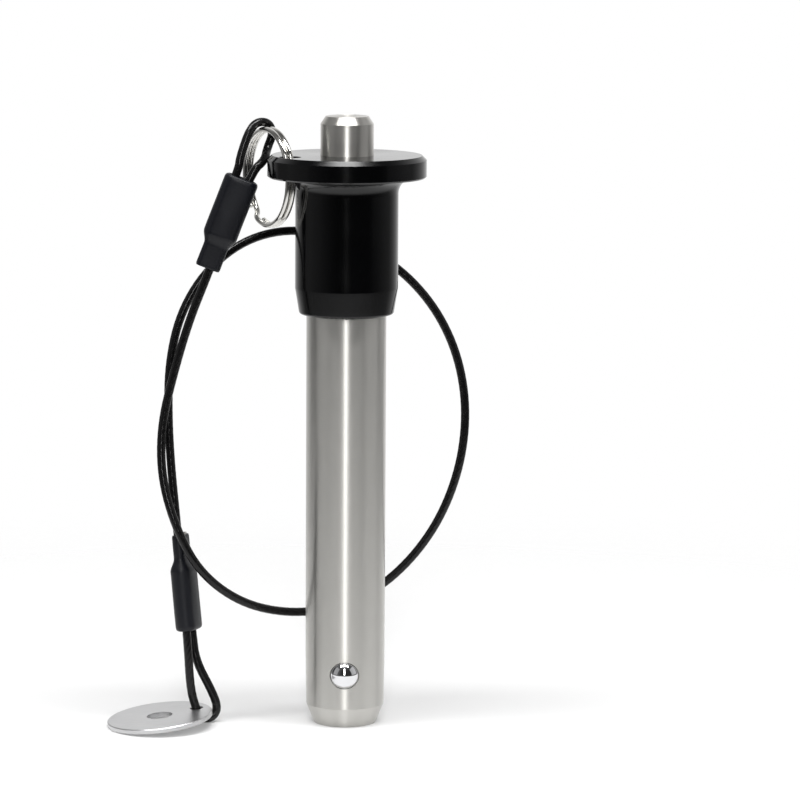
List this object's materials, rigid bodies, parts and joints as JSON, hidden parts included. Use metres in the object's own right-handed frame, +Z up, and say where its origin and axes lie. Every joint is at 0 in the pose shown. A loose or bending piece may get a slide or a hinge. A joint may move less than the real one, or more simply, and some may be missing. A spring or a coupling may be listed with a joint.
{
  "type": "ball lock pin",
  "caption": "Quick-release pin with a flanged push-button handle, spring-held locking balls and a cable lanyard on a split ring.",
  "frame": {"origin": "centre of the pin's flat tip face, on the surface that the pin stands on", "axes": "+Z up the pin's axis towards the button, +X to the right, -Y to the front, with the lanyard on the -X side"},
  "size_m": [0.0727, 0.0328, 0.1227],
  "materials": {
    "stainless": "fine ground",
    "black_anodised": "gloss black anodised",
    "spring_steel": "drawn wire",
    "polished_ball": "polished",
    "nickel_plate": "bright nickel",
    "cable_coat": "gloss",
    "ferrule_metal": "pressed",
    "heat_shrink": "matt",
    "tab_steel": "satin"
  },
  "bodies": {
    "pin": {"shank": "stainless", "handle": "black_anodised", "return_spring": "spring_steel", "lanyard_cable": "cable_coat", "upper_ferrule": "ferrule_metal", "lower_ferrule": "ferrule_metal", "upper_shrink_sleeve": "heat_shrink", "lower_shrink_sleeve": "heat_shrink", "end_tab": "tab_steel"},
    "plunger": {"button": "stainless", "spindle": "stainless"},
    "front_ball": {"ball_front": "polished_ball"},
    "back_ball": {"ball_back": "polished_ball"},
    "ring": {"split_ring": "nickel_plate"}
  },
  "joints": [
    {"name": "button_press", "type": "slide", "parent": "pin", "child": "plunger", "axis": [0, 0, -1], "range_m": [0, 0.005], "stiffness_N_per_m": 2000, "springref_m": -0.0002, "deforming": ["return_spring"]},
    {"name": "front_ball_in", "type": "slide", "parent": "pin", "child": "front_ball", "axis": [0, 1, 0], "range_m": [0, 0.0016]},
    {"name": "back_ball_in", "type": "slide", "parent": "pin", "child": "back_ball", "axis": [0, -1, 0], "range_m": [0, 0.0016]},
    {"name": "ring_turn", "type": "hinge", "parent": "pin", "child": "ring", "pos_m": [-0.01558, 0.0022, 0.11027], "axis": [-0.8796, -0.4756, 0], "continuous": true}
  ],
  "couplings": [
    {"joint": "front_ball_in", "follows": "button_press", "ratio": 0.32},
    {"joint": "back_ball_in", "follows": "button_press", "ratio": 0.32}
  ]
}
